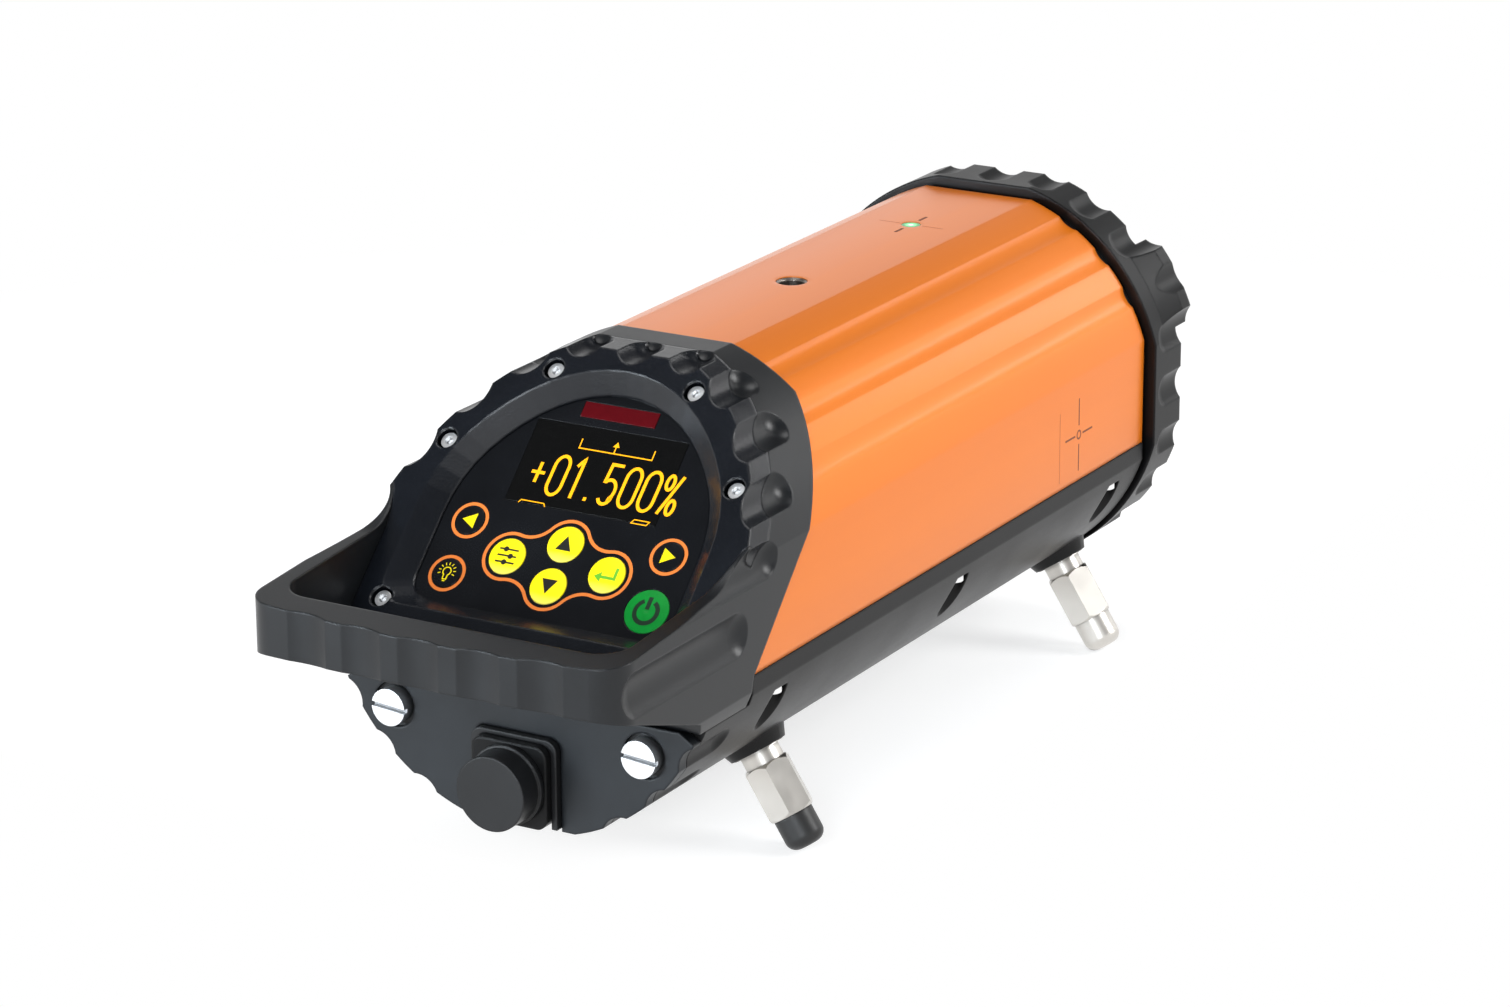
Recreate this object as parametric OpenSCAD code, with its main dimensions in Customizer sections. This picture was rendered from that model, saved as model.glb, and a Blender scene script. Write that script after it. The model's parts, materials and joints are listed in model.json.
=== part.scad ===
// Pipe laser: an orange tube housing on a dark chassis, with a bumper ring round
// the front window, a rear cap that carries the sloping keypad and the lifting
// handle, a battery module behind the rear door, and four screw-in feet.
//
// Working axes: X to the right, Y along the beam (Y = 0 is the front end of the
// orange shell, so the body lies at negative Y), Z up from the tube's own axis.
// placed() then stands the whole thing on the floor, centred between its ends.

/* [Housing] */
// Half the width of the tube across its side flats
body_half = 61; // [60.5:0.1:61.5]
// Radius of the orange shell between its flats
shell_r = 64; // [63.5:0.1:64.3]
// Wall thickness of the orange shell
shell_wall = 3; // [2:0.1:3.4]
// How far chassis and rear cap stand proud of the shell
base_step = 0.8; // [0.4:0.1:1.2]
// Wall thickness of the chassis
base_wall = 4; // [3:0.1:4.2]
// Height of the seam between shell and chassis
seam_z = -15.2; // [-17:0.1:-13]
// Running distance from the front end of the shell back to the cap's upper edge
shell_len = 193; // [188:0.5:196]
// Lean of the seam between shell and rear cap, from the vertical
seam_lean = 42.8; // [41:0.1:44]
// Width of one shoulder flute
flute_w = 8; // [6:0.1:8.5]
// Depth of one shoulder flute
flute_depth = 0.9; // [0.6:0.1:1.5]
// Clearance where fixed pieces seat in one another
fit = 0.15; // [0.1:0.01:0.2]

/* [Front end] */
// How far the bumper ring stands proud of the chassis between its flats
ring_step = 1.4; // [0.8:0.1:2]
// How far the bumper ring stands proud of the tube's flats
ring_cover = 3; // [2:0.1:3.5]
// Width of the black gap between shell and bumper ring
ring_gap = 3; // [2:0.1:4]
// Length of the bumper ring
ring_len = 19; // [17:0.5:22]
// How far the two shoulder lugs stand out in front of the ring
lug_reach = 7.5; // [3:0.5:8]
// Radius of the clear opening for the beam
window_r = 27; // [24:0.5:29]
// Thickness of the front window
window_t = 4; // [3:0.1:4.5]

/* [Rear cap and handle] */
// Wall thickness of the rear cap
cap_wall = 4; // [3:0.1:4.4]
// Height of the seam between rear cap and chassis
cap_floor_z = -24; // [-25:0.1:-23]
// Radius of the finger scoops
scoop_r = 7.4; // [6:0.1:8]
// Depth of the finger scoops
scoop_depth = 2.8; // [1.8:0.1:2.9]
// Distance of the handle bar's rear face from the front end of the shell
handle_y = 331.5; // [326:0.5:336]
// Thickness of the handle bar, front to back
bar_t = 12.5; // [11:0.1:14]
// Height of the handle bar
bar_h = 14; // [12:0.1:16]
// Height of the bar's top above the tube axis
bar_top = 9; // [7:0.1:10]
// Corner radius of the handle bar in plan
bar_corner = 10; // [7:0.5:11]

/* [Keypad] */
// Lean of the keypad from the horizontal
pad_angle = 45; // [45:1:45]
// Height of the keypad's reference line above the tube axis
pad_z = 15.8; // [15:0.1:16.5]
// Distance of that line behind the front end of the shell
pad_back = 253.3; // [252.8:0.1:253.8]
// Radius of the keypad panel, seen along the tube
pad_r = 49; // [47.5:0.1:49.5]
// Half the width of the keypad panel
pad_half = 43; // [42:0.1:43.5]
// Depth of the panel below the bezel's face
pad_sink = 5.9; // [5:0.1:6.5]
// Radius of the yellow keys
key_r = 5.75; // [5:0.05:5.9]
// Radius of the black keys inside their printed rings
dark_key_r = 4.7; // [4.4:0.1:4.8]
// Radius of the power key
power_r = 6.9; // [6.4:0.1:7.3]
// Travel of a key
key_travel = 0.6; // [0.4:0.05:0.65]
// Width of the display window
display_w = 51; // [48:0.5:52]
// Height of the display window
display_h = 27.4; // [25:0.1:27.8]

/* [Battery module] */
// Thickness of the battery door
door_t = 4; // [3:0.1:5]
// Distance of the door's rear face behind the front end of the shell
door_back = 282; // [281.5:0.1:282.5]
// Half the width of the battery pack
pack_half = 34; // [30:0.5:35]
// Length of the battery pack
pack_len = 56; // [50:0.5:57]
// Half the width of the charging socket block
socket_half = 12.5; // [11.5:0.1:13]
// Radius of the socket's round cap
socket_cap_r = 11.3; // [10.5:0.1:11.6]
// Radius of a door screw's head
door_head_r = 5.65; // [5:0.05:6]

/* [Feet] */
// Lean of each foot from the vertical
foot_lean = 32.9; // [32:0.1:34]
// Distance from the tube axis to a foot's tip
foot_reach = 100; // [97:0.5:104]
// Distance of the front feet behind the front end of the shell
foot_front = 9.8; // [9.5:0.1:12]
// Distance of the rear feet behind the front end of the shell
foot_rear = 208.6; // [206:0.1:210]
// Radius of a foot's round shaft
foot_r = 6.2; // [5.8:0.05:6.4]
// Width of a foot's hexagon across its flats
hex_af = 13.6; // [13:0.1:15]
// Length of a foot's hexagon
hex_len = 17; // [15:0.5:18]
// Running clearance of shafts and pins in their bores
run = 0.05; // [0.03:0.01:0.08]

/* [Laser gimbal] */
// Distance of the beam's pivot behind the front end of the shell
pivot_back = 46.6; // [46:0.1:48]
// Radius of the laser barrel
barrel_r = 17; // [16:0.5:18]
// Radius of the gimbal pins
pin_r = 3; // [2.5:0.1:3.4]
// Lever from the pivot to the grade drive's pin
grade_arm = 81.4; // [80:0.1:82]
// Lever from the pivot to the line drive's pin
line_arm = 99.4; // [99:0.1:101]

/* [Hidden] */
$fn = 64;
far = 200;
big_bend = 400;
base_r = shell_r + base_step;
base_half = body_half + 0.3;
cap_r = base_r;
cap_half = body_half + base_step;
ring_r = base_r + ring_step;
ring_half = body_half + ring_cover;
lug_r = ring_r + 3;
// Height of the tube's top, and depth of the chassis floor, from the tube's axis
top_z = min(shell_r, body_half);
floor_z = -min(base_r, base_half) + base_wall;

// Colours
orange = [0.95, 0.51, 0.20];
dark = [0.20, 0.20, 0.21];
bezel_grey = [0.24, 0.25, 0.27];
nickel = [0.78, 0.76, 0.72];
silver = [0.85, 0.86, 0.87];
rubber_black = [0.08, 0.08, 0.08];
yellow = [1.0, 0.93, 0.0];
panel_black = [0.07, 0.07, 0.08];
pcb_green = [0.05, 0.35, 0.18];
brass_tone = [0.80, 0.66, 0.35];

// Where the floor is: the rounded rim of a foot's tip touches it
tip_round = 3.5;
axis_z = (foot_reach - tip_round) * cos(foot_lean)
    + (foot_r - tip_round) * sin(foot_lean) + tip_round;
front_y = ring_gap + ring_len + lug_reach;
mid_y = (front_y - handle_y) / 2;

// The keypad plane: n = 0 is the panel's face
pad_y = -pad_back;
bezel_seat = -2.2;
function pad_point(t, n) = [pad_y + t * cos(pad_angle) - n * sin(pad_angle),
    pad_z + t * sin(pad_angle) + n * cos(pad_angle)];

// The seam between shell and cap, as a distance along Y at height z
seam_top_z = 50.2;
function seam_y(z) = -shell_len - max(0, seam_top_z - z) * tan(seam_lean);

// Key places on the panel, across and up the slope
arrow_x = 33.7;
light_x = 33.85;
light_t = -17.7;
set_x = 16.9;
set_t = -9;
up_t = -2;
down_t = -15.8;
display_t = 22.3;
ir_w = 25.2;
ir_h = 5;
ir_t = 41.4;

module placed() { translate([0, -mid_y, axis_z]) children(); }

module along_y(y0, y1) {
    translate([0, y1, 0]) rotate([90, 0, 0]) linear_extrude(y1 - y0) children();
}

module along_x(x0, x1) {
    translate([x0, 0, 0]) rotate([90, 0, 90]) linear_extrude(x1 - x0) children();
}

module on_pad() { translate([0, pad_y, pad_z]) rotate([pad_angle, 0, 0]) children(); }

// A slab of the keypad's slope between two heights above the panel's face
module pad_slab(n0, n1) {
    on_pad() translate([-far, -far, n0]) cube([2 * far, 2 * far, n1 - n0]);
}

// The tube's section: a circle with flats, down to a flat bottom
module section(r, half) {
    intersection() {
        circle(r = r);
        square(2 * half, center = true);
    }
}

// The keypad's outline seen along the tube: a circle with upright flats, whose
// junctions are rounded
pad_blend = 24;
module pad_section(r, half) {
    blend = pad_blend + r - pad_r;
    cx = half - blend;
    cz = sqrt(pow(r - blend, 2) - cx * cx);
    lead = atan2(cz, cx);
    difference() {
        intersection() {
            circle(r = r);
            translate([-half, -far]) square([2 * half, 2 * far]);
        }
        for (side = [0, 1], up = [0, 1]) mirror([side, 0]) mirror([0, up]) translate([cx, cz])
            difference() {
                polygon([[0, 0], [2 * blend, 0],
                    2 * blend * [cos(lead / 2), sin(lead / 2)], 2 * blend * [cos(lead), sin(lead)]]);
                circle(r = blend);
            }
    }
}

// A round bar along Y with ball ends, the tool that cuts one scoop
module scoop_tool(angle, reach, y0, y1, r, depth) {
    rotate([0, -angle, 0]) translate([reach + r - depth, 0, 0]) rotate([-90, 0, 0])
        rotate_extrude() intersection() {
            union() {
                translate([0, y0]) square([r, y1 - y0]);
                translate([0, y1]) circle(r = r);
                translate([0, y0]) circle(r = r);
            }
            translate([0, y0 - 2 * r]) square([r, y1 - y0 + 4 * r]);
        }
}

// How far out the section's surface lies at an angle above the horizontal
function surface_at(angle, r, half) =
    min(r, half / max(abs(cos(angle)), abs(sin(angle))));

// How far from the middle the chassis's surface lies at a height
function base_at(z) = min(sqrt(base_r * base_r - z * z), base_half);

// Shell and chassis

screw_grip = 9;

// The arched tube of the shell, fluted on both shoulders
module shell_tube() {
    flute_r = flute_w * flute_w / (8 * flute_depth) + flute_depth / 2;
    along_y(-far - handle_y, 0) difference() {
        section(shell_r, body_half);
        section(shell_r - shell_wall, body_half - shell_wall);
        translate([-far, seam_z - 2 * far]) square(2 * far);
        for (side = [0, 1], a = [31, 45, 59]) mirror([side, 0])
            rotate(a) translate([shell_r + flute_r - flute_depth, 0]) circle(r = flute_r);
    }
}

module shell() {
    color(orange) difference() {
        union() {
            shell_tube();
            // bosses that the base screws thread into
            for (side = [-1, 1], y = base_screw_ys)
                translate([side * (base_screw_x - 1) - 3.5, y - 5, seam_z])
                cube([7, 10, screw_grip + 4]);
        }
        for (side = [-1, 1], y = base_screw_ys) translate([side * base_screw_x, y, seam_z - 1])
            cylinder(r = 2 + run, h = screw_grip + 2);
        along_x(-far, far) polygon([
            [-far - 2 * handle_y, far], [seam_y(far), far], [seam_y(far), seam_top_z],
            [seam_y(-far), -far], [-far - 2 * handle_y, -far]]);
        translate([0, insert_y, 0]) cylinder(r = insert_r + fit, h = far);
        translate([0, -pivot_back, 0]) cylinder(r = plumb_r + fit, h = far);
    }
}

insert_y = -123.6;
insert_r = 4.8;
insert_bore = 4;
plumb_r = 3;

module chassis_section(r, half) {
    intersection() {
        section(r, half);
        translate([-far, -far]) square([2 * far, far + seam_z - fit]);
    }
}

boss_end = 68;
bush_r = 8;
bush_top = 52;

// Stands children along a foot's axis, with +Z pointing out through the sole
module at_foot(side, y) {
    translate([0, y, 0]) rotate([0, side * -foot_lean, 0]) rotate([180, 0, 0]) children();
}

module each_foot() {
    for (side = [-1, 1], y = [-foot_front, -foot_rear]) at_foot(side, y) children();
}

base_screw_ys = [-18, -123, -235];
base_screw_z = -24.5;
base_screw_x = base_at(base_screw_z) - 3.5;
pocket_r = 4.9;

module base_frame() {
    bay_front = -door_back + door_t + pack_len + 1;
    roof_half = base_at(cap_floor_z - 3) - 0.9;
    color(dark) difference() {
        union() {
            along_y(-door_back + door_t + fit, 0) difference() {
                chassis_section(base_r, base_half);
                section(base_r - base_wall, base_half - base_wall);
            }
            // battery bay: its roof, and the bulkhead in front of the pack
            translate([-roof_half, -door_back + door_t + fit, cap_floor_z - 3])
                cube([2 * roof_half, bay_front + door_back - door_t, 3 - fit]);
            along_y(bay_front, bay_front + 3) intersection() {
                chassis_section(base_r - 1, body_half - 1);
                translate([-far, -far]) square([2 * far, far + cap_floor_z - fit]);
            }
            // rails for the main board
            for (side = [0, 1]) mirror([side, 0, 0]) translate([45, board_y0, board_z - 4])
                cube([base_half - base_wall - 44, board_len, 4 - fit]);
            // lugs that the door screws thread into
            for (side = [-1, 1]) translate([side * door_screw_x, 0, door_screw_z])
                along_y(-door_back + door_t + fit, -door_back + 22) circle(r = 6.5);
            for (side = [-1, 1])
                translate([side * (door_screw_x + 4.6) - 5, -door_back + door_t + fit, door_screw_z - 5])
                cube([10, 18 - fit, 13]);
            // screw pillars up to the shell's lower edge
            for (side = [-1, 1], y = base_screw_ys)
                translate([side * (base_screw_x - 2.5) - 3.5, y - 5, -30]) cube([7, 10, 30 + seam_z - fit]);
            each_foot() {
                translate([0, 0, 50]) cylinder(r = 9.5, h = 12);
                translate([0, 0, 60]) cylinder(r1 = 12.5, r2 = 9, h = boss_end - 60);
            }
        }
        each_foot() translate([0, 0, 40]) cylinder(r = bush_r, h = 40);
        translate([-far, 0, -far]) cube(2 * far);
        // pockets that let the screws in from below
        for (side = [-1, 1], y = base_screw_ys) translate([side * base_screw_x, y, -far]) {
            cylinder(r = pocket_r, h = far + base_screw_z);
            cylinder(r = 2.2, h = far + seam_z + 1);
        }
        // the slot behind the rear cap's seam
        translate([-far, -far - handle_y, cap_floor_z]) cube([2 * far,
            far + handle_y + seam_y(seam_z) - fit, far]);
        for (side = [-1, 1]) translate([side * door_screw_x, 0, door_screw_z])
            along_y(-door_back, -door_back + 21) circle(r = door_shank_r + run);
        lower_scoops(-door_back - 5, -door_back + 22);
        // notch for the back of the charging socket
        along_y(-door_back, -door_back + door_t + 8.5)
            rounded(socket_half + 0.5, -far, socket_top + 0.5, notch_corner);
    }
}

// Soft scoops along the lower flanks, from the door forward
module lower_scoops(y0, y1) {
    for (side = [0, 1], a = [-30, -45, -60]) mirror([side, 0, 0])
        scoop_tool(a, base_r, y0 - scoop_r, y1 - 4, scoop_r, scoop_depth * 0.6);
}

module base_screws() {
    color(silver) for (side = [-1, 1], y = base_screw_ys)
        translate([side * base_screw_x, y, base_screw_z]) {
            difference() {
                translate([0, 0, -2]) cylinder(r = 3.2, h = 2);
                translate([0, 0, -5]) cylinder(r = 1.5, h = 4, $fn = 6);
            }
            cylinder(r = 2, h = seam_z - base_screw_z + screw_grip);
        }
}

module foot_bushes() {
    color(nickel) each_foot() translate([0, 0, bush_top]) difference() {
        cylinder(r = bush_r, h = boss_end + 0.3 - bush_top);
        translate([0, 0, -1]) cylinder(r = foot_r + run, h = far);
    }
}

// Feet

foot_stroke = 6;
hex_start = 72.5;

module foot_leg(side, y) {
    tip_start = hex_start + hex_len;
    stub_r = foot_r - 2.2;
    color(nickel) at_foot(side, y) {
        translate([0, 0, bush_top + 2]) cylinder(r = foot_r, h = hex_start - bush_top - 2);
        intersection() {
            translate([0, 0, hex_start]) cylinder(r = hex_af / 2 / cos(30), h = hex_len, $fn = 6);
            translate([0, 0, hex_start - 0.01]) union() {
                cylinder(r1 = hex_af / 2 - 0.2, r2 = hex_af / 2 + 1.2, h = 1.4);
                translate([0, 0, 1.4]) cylinder(r = hex_af / 2 + 1.2, h = hex_len - 2.8 + 0.02);
                translate([0, 0, hex_len - 1.38])
                    cylinder(r1 = hex_af / 2 + 1.2, r2 = hex_af / 2 - 0.2, h = 1.4);
            }
        }
        translate([0, 0, tip_start]) cylinder(r = stub_r, h = 5);
    }
}

module foot_tip(side, y) {
    tip_start = hex_start + hex_len + run;
    tip_len = foot_reach - tip_start;
    stub_r = foot_r - 2.2;
    at_foot(side, y) translate([0, 0, tip_start]) difference() {
        rotate_extrude() union() {
            square([foot_r, tip_len - tip_round]);
            square([foot_r - tip_round, tip_len]);
            translate([foot_r - tip_round, tip_len - tip_round]) intersection() {
                circle(r = tip_round);
                square(tip_round);
            }
        }
        translate([0, 0, -1]) cylinder(r = stub_r + run, h = 1 + 5 + 0.3);
    }
}

module foot_leg_front_left() { foot_leg(-1, -foot_front); }
module foot_leg_front_right() { foot_leg(1, -foot_front); }
module foot_leg_rear_left() { foot_leg(-1, -foot_rear); }
module foot_leg_rear_right() { foot_leg(1, -foot_rear); }
module foot_tip_front_left() { color(nickel) foot_tip(-1, -foot_front); }
module foot_tip_front_right() { color(nickel) foot_tip(1, -foot_front); }
module foot_tip_rear_left() { color(rubber_black) foot_tip(-1, -foot_rear); }
module foot_tip_rear_right() { color(rubber_black) foot_tip(1, -foot_rear); }

// Front end

// Side profile of a shoulder lug: radius across, distance along the beam up
module lug_profile() {
    y0 = ring_gap + 6;
    y1 = ring_gap + ring_len + lug_reach;
    polygon([[ring_r - 12, y0], [ring_r - 0.5, y0], [lug_r, y1 - 8], [lug_r, y1 - 3],
        [lug_r - 3, y1 - 3], [lug_r - 3, y1], [ring_r - 7, y1], [ring_r - 12, y1 - 4]]);
    translate([lug_r - 3, y1 - 3]) intersection() {
        circle(r = 3);
        square(3);
    }
}

module front_ring() {
    y0 = ring_gap;
    y1 = ring_gap + ring_len;
    bore = window_r + 9;
    color(dark) difference() {
        union() {
            along_y(y0, y1) section(ring_r, ring_half);
            // shoulder lugs that keep the window off the ground
            for (side = [0, 1]) mirror([side, 0, 0]) intersection() {
                rotate([-90, 0, 0]) rotate_extrude($fn = 120) lug_profile();
                rotate([0, -30, 0]) translate([0, y0, -15]) cube([far, ring_len + lug_reach, 30]);
            }
        }
        along_y(y1 - 9, far) circle(r = bore);
        along_y(-1, far) circle(r = window_r + 3);
        // keep the lugs to a band round the rim
        along_y(y1, far) circle(r = ring_r - 9);
        for (a = [-90:15:255])
            scoop_tool(a, (a == 30 || a == 150) ? lug_r : surface_at(a, ring_r, ring_half), y0 + 8, far,
                scoop_r + 0.8, scoop_depth * 0.7);
        for (a = [45:90:315]) rotate([0, a, 0]) translate([ring_screw_r, 0, 0])
            rotate([-90, 0, 0]) {
                cylinder(r = 2.2, h = far);
                translate([0, 0, y1 - 5]) cylinder(r = 4.2, h = far);
            }
    }
}

ring_screw_r = 50;
bulkhead_back = 9;

module front_bulkhead() {
    color(rubber_black) difference() {
        union() {
            difference() {
                along_y(-bulkhead_back, fit + 0.1) intersection() {
                    section(shell_r - shell_wall - fit, body_half - shell_wall - fit);
                    section(base_r - base_wall - fit, base_half - base_wall - fit);
                }
                // room for the front feet's bosses and for the screw pillars
                for (side = [-1, 1]) at_foot(side, -foot_front) cylinder(r = 13, h = far);
                for (side = [-1, 1]) translate([side * 54 - 4, -24, -far])
                    cube([8, far, far + seam_z]);
            }
            along_y(fit, ring_gap - fit) section(shell_r - 1.5, body_half - 1.2);
        }
        along_y(-bulkhead_back - 1, far) circle(r = window_r);
        along_y(ring_gap - fit - window_t, far) circle(r = window_r + 2.5 + fit);
        for (a = [45:90:315]) rotate([0, a, 0]) translate([ring_screw_r, 0, 0])
            rotate([-90, 0, 0]) translate([0, 0, -bulkhead_back - 1]) cylinder(r = 2.05, h = far);
    }
}

module front_window() {
    color([0.75, 0.85, 0.85, 0.4])
        along_y(ring_gap - fit - window_t + 0.02, ring_gap - fit) circle(r = window_r + 2.5);
}

module window_retainer() {
    y0 = ring_gap;
    color(dark) difference() {
        along_y(y0, y0 + 4) circle(r = window_r + 3 - fit);
        along_y(y0 - 1, far) circle(r = window_r - 0.5);
        along_y(y0 + 2.5, far) circle(r = window_r + 1);
    }
}

module ring_screws() {
    y1 = ring_gap + ring_len;
    color(silver) for (a = [45:90:315]) rotate([0, a, 0]) translate([ring_screw_r, 0, 0])
        rotate([-90, 0, 0]) {
            translate([0, 0, -bulkhead_back + 1]) cylinder(r = 2, h = y1 - 5 + bulkhead_back - 1);
            translate([0, 0, y1 - 5]) difference() {
                cylinder(r = 3.5, h = 4);
                translate([0, 0, 1.6]) cylinder(r = 1.7, h = 4, $fn = 6);
            }
        }
}

// Top fittings

module top_insert() {
    top = top_z;
    color(nickel) translate([0, insert_y, 0]) difference() {
        union() {
            translate([0, 0, top - 14]) cylinder(r = insert_r, h = 14 - 0.2);
            translate([0, 0, top - 14]) cylinder(r = insert_r + 4.7, h = 14 - shell_wall - 0.2);
        }
        translate([0, 0, top - 12]) cylinder(r = insert_bore, h = far);
        translate([0, 0, top - 0.8]) cylinder(r1 = insert_bore, r2 = insert_bore + 0.7, h = 0.7);
    }
}

module plumb_window() {
    color([0.3, 0.9, 0.5]) translate([0, -pivot_back, top_z - 3.2]) {
        cylinder(r = plumb_r, h = 3.1);
        translate([0, 0, -0.8]) cylinder(r = plumb_r + 1.5, h = 0.9);
    }
}

// Rear cap with its handle

seam_low_y = seam_y(seam_z);

// Side view of the cap and handle, from the front seam round to the bar
arm_slope = 0.0816;
arm_bend_r = 27;

module cap_side() {
    low_z = bar_top - bar_h;
    rise = pad_point(0, pad_sink)[1] - pad_point(0, pad_sink)[0];
    // where the sloping rim would meet the line along the top of the arms
    meet_y = (bar_top + arm_slope * handle_y - rise) / (1 - arm_slope);
    meet = [meet_y, meet_y + rise];
    turn = pad_angle - atan(arm_slope);
    tangent = arm_bend_r * tan(turn / 2);
    bend = [meet[0] + tangent * cos(pad_angle) - arm_bend_r * sin(pad_angle),
        meet[1] + tangent * sin(pad_angle) + arm_bend_r * cos(pad_angle)];
    polygon([[-shell_len - fit, rise - shell_len - fit],
        [-shell_len - fit, seam_top_z],
        [seam_low_y - fit, seam_z], [seam_low_y - fit - 2, cap_floor_z],
        [-door_back + 1, cap_floor_z], [-door_back - 1, cap_floor_z + 3.8],
        [-handle_y + 15.5, bar_top - bar_h - 4.3], [-handle_y, low_z],
        [-handle_y - 5, low_z], [-handle_y - 5, bar_top - arm_slope * 5], meet]);
    difference() {
        polygon([meet + tangent * [cos(pad_angle), sin(pad_angle)],
            meet + [1, -3], meet - tangent * [cos(atan(arm_slope)), sin(atan(arm_slope))]]);
        translate(bend) circle(r = arm_bend_r);
    }
}

// Plan of the cap: bowed rear edge, and corners on the bar rounded into it
module cap_plan() {
    half = cap_half;
    cx = half - bar_corner;
    drop = sqrt(pow(big_bend - bar_corner, 2) - cx * cx);
    lead = atan2(drop, cx);
    difference() {
        intersection() {
            translate([-half, -handle_y - 1]) square([2 * half, far + handle_y]);
            translate([0, -handle_y + big_bend]) circle(r = big_bend, $fn = 256);
        }
        for (side = [0, 1]) mirror([side, 0]) translate([cx, -handle_y + big_bend - drop])
            difference() {
                polygon([[0, 0], [far, 0], [far, -far], far * [cos(lead), -sin(lead)]]);
                circle(r = bar_corner);
            }
    }
}

grip_r = 19;

module cap_scoops() {
    for (a = [0:15:180]) let (z = surface_at(a, cap_r, cap_half) * sin(a),
        end = -shell_len - 13 - max(0, seam_top_z - z) * 1.08 - scoop_r / 2)
        scoop_tool(a, surface_at(a, cap_r, cap_half),
            (a == 0 || a == 180) ? -handle_y + 14 : -far - handle_y, end,
            (a == 0 || a == 180) ? scoop_r + 2.4 : scoop_r, scoop_depth);
}

// The cap's whole outer form, before it is hollowed
module cap_form() {
    difference() {
        intersection() {
            along_y(-handle_y - 10, -shell_len + 20) section(cap_r, cap_half);
            along_x(-far, far) cap_side();
            translate([0, 0, -far]) linear_extrude(2 * far) cap_plan();
        }
        cap_scoops();
        // grip flutes on the bar
        for (i = [-2:2])
            translate([i * 20.2, -handle_y - grip_r + 1.3 + pow(i * 20.2, 2) / 2 / big_bend, -far])
                cylinder(r = grip_r, h = 2 * far);
    }
}

arm_inner = 56.3;
bezel_low_half = 56.15;
bezel_low_t = -36.5;

// The room that the bezel takes, with a gap all round: as wide as the cap above,
// and narrowing to the space between the arms below
module bezel_room(gap) {
    low = bezel_low_half + gap;
    right = [[low, bezel_low_t - gap], [low, -9], [low + 0.9, -3], [low + 2.8, 3],
        [low + 6.2, 8.5], [low + 12, 13], [far, 16], [far, far]];
    left = [for (i = [len(right) - 1:-1:0]) [-right[i][0], right[i][1]]];
    on_pad() translate([0, 0, bezel_seat]) linear_extrude(far) polygon(concat(right, left));
}

module rear_cap() {
    bar_front = -handle_y + bar_t;
    color(dark) difference() {
        cap_form();
        // hollow under the keypad, with a flange for the bezel's screws
        difference() {
            along_y(-door_back + 4, far) section(cap_r - cap_wall, cap_half - cap_wall);
            pad_slab(bezel_seat - 6, far);
            translate([-far, -far - handle_y, -far]) cube([2 * far, far + handle_y - door_back + 4, 2 * far]);
        }
        intersection() {
            along_y(-door_back + 4, far) pad_section(pad_r + 4.5, pad_half + 4);
            pad_slab(-6.3, far);
        }
        intersection() {
            along_y(-door_back + 4, far) pad_section(pad_r - 1, pad_half - 2);
            pad_slab(-far, far);
        }
        // the room of the bezel, and the clear slope above it between the arms
        bezel_room(fit);
        // finger opening between bar, arms and door
        translate([0, 0, -far]) linear_extrude(2 * far) intersection() {
            rounded(arm_inner, bar_front, -door_back + 30, 10);
            translate([-far, -far - handle_y]) square([2 * far, far + handle_y - door_back]);
        }
        bezel_screw_holes(1.55);
    }
}

bezel_screw_xt = [[48.8, 22], [48, -31], [23.83, 50]];
bezel_head_top = pad_sink - 1.6;

module at_bezel_screws() {
    for (side = [-1, 1], s = bezel_screw_xt) on_pad() translate([side * s[0], s[1], 0]) children();
}

module bezel_screw_holes(r) {
    at_bezel_screws() translate([0, 0, -far / 8]) cylinder(r = r, h = far / 4);
}

// Outline of the panel as it shows inside the bezel, in the slope's own axes
module pad_outline(r, half, low_t) {
    stretch = 1 / sin(pad_angle);
    corner = 7;
    cx = half - pad_blend;
    cz = sqrt(pow(r - pad_blend, 2) - cx * cx);
    lead = atan2(cz, cx);
    right = [
        for (a = [-90:15:0]) [half - corner + corner * cos(a), low_t + corner + corner * sin(a)],
        for (i = [0:4]) let (a = lead * i / 4)
            [cx + pad_blend * cos(a), (cz + pad_blend * sin(a) - pad_z) * stretch],
        for (i = [1:8]) let (a = lead + (90 - lead) * i / 8)
            [r * cos(a), (r * sin(a) - pad_z) * stretch]];
    left = [for (i = [len(right) - 2:-1:0]) [-right[i][0], right[i][1]]];
    polygon(concat(right, left));
}

pad_low_t = -26.9;

module keypad_bezel() {
    flare = 1.155;
    centre_t = 8;
    color(bezel_grey) difference() {
        intersection() {
            difference() {
                along_y(-handle_y, -shell_len + 20) section(cap_r, cap_half);
                cap_scoops();
            }
            bezel_room(0);
            pad_slab(bezel_seat, pad_sink);
        }
        translate([-far, -far - door_back + 0.3 - 2, -far]) cube([2 * far, far, 2 * far]);
        // opening that flares from the panel up to the face
        on_pad() translate([0, centre_t, 0.1]) linear_extrude(pad_sink + 0.1, scale = flare)
            translate([0, -centre_t]) pad_outline(pad_r, pad_half, pad_low_t);
        // recess that takes the panel from below
        intersection() {
            along_y(-far - handle_y, far) pad_section(pad_r + 4, pad_half + 3);
            pad_slab(-far, 0.1);
            on_pad() translate([-far, pad_low_t - 3.5, -far]) cube(2 * far);
        }
        bezel_screw_holes(1.7);
        at_bezel_screws() translate([0, 0, 1.4]) cylinder(r = 3.3, h = far);
    }
}

module bezel_screws() {
    color(silver) at_bezel_screws() {
        translate([0, 0, -7]) cylinder(r = 1.5, h = 8.5);
        difference() {
            translate([0, 0, 1.4]) cylinder(r = 2.6, h = bezel_head_top - 1.4);
            translate([0, 0, bezel_head_top - 1.6]) cylinder(r = 1.45, h = 3, $fn = 6);
        }
    }
}

// Keypad

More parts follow.
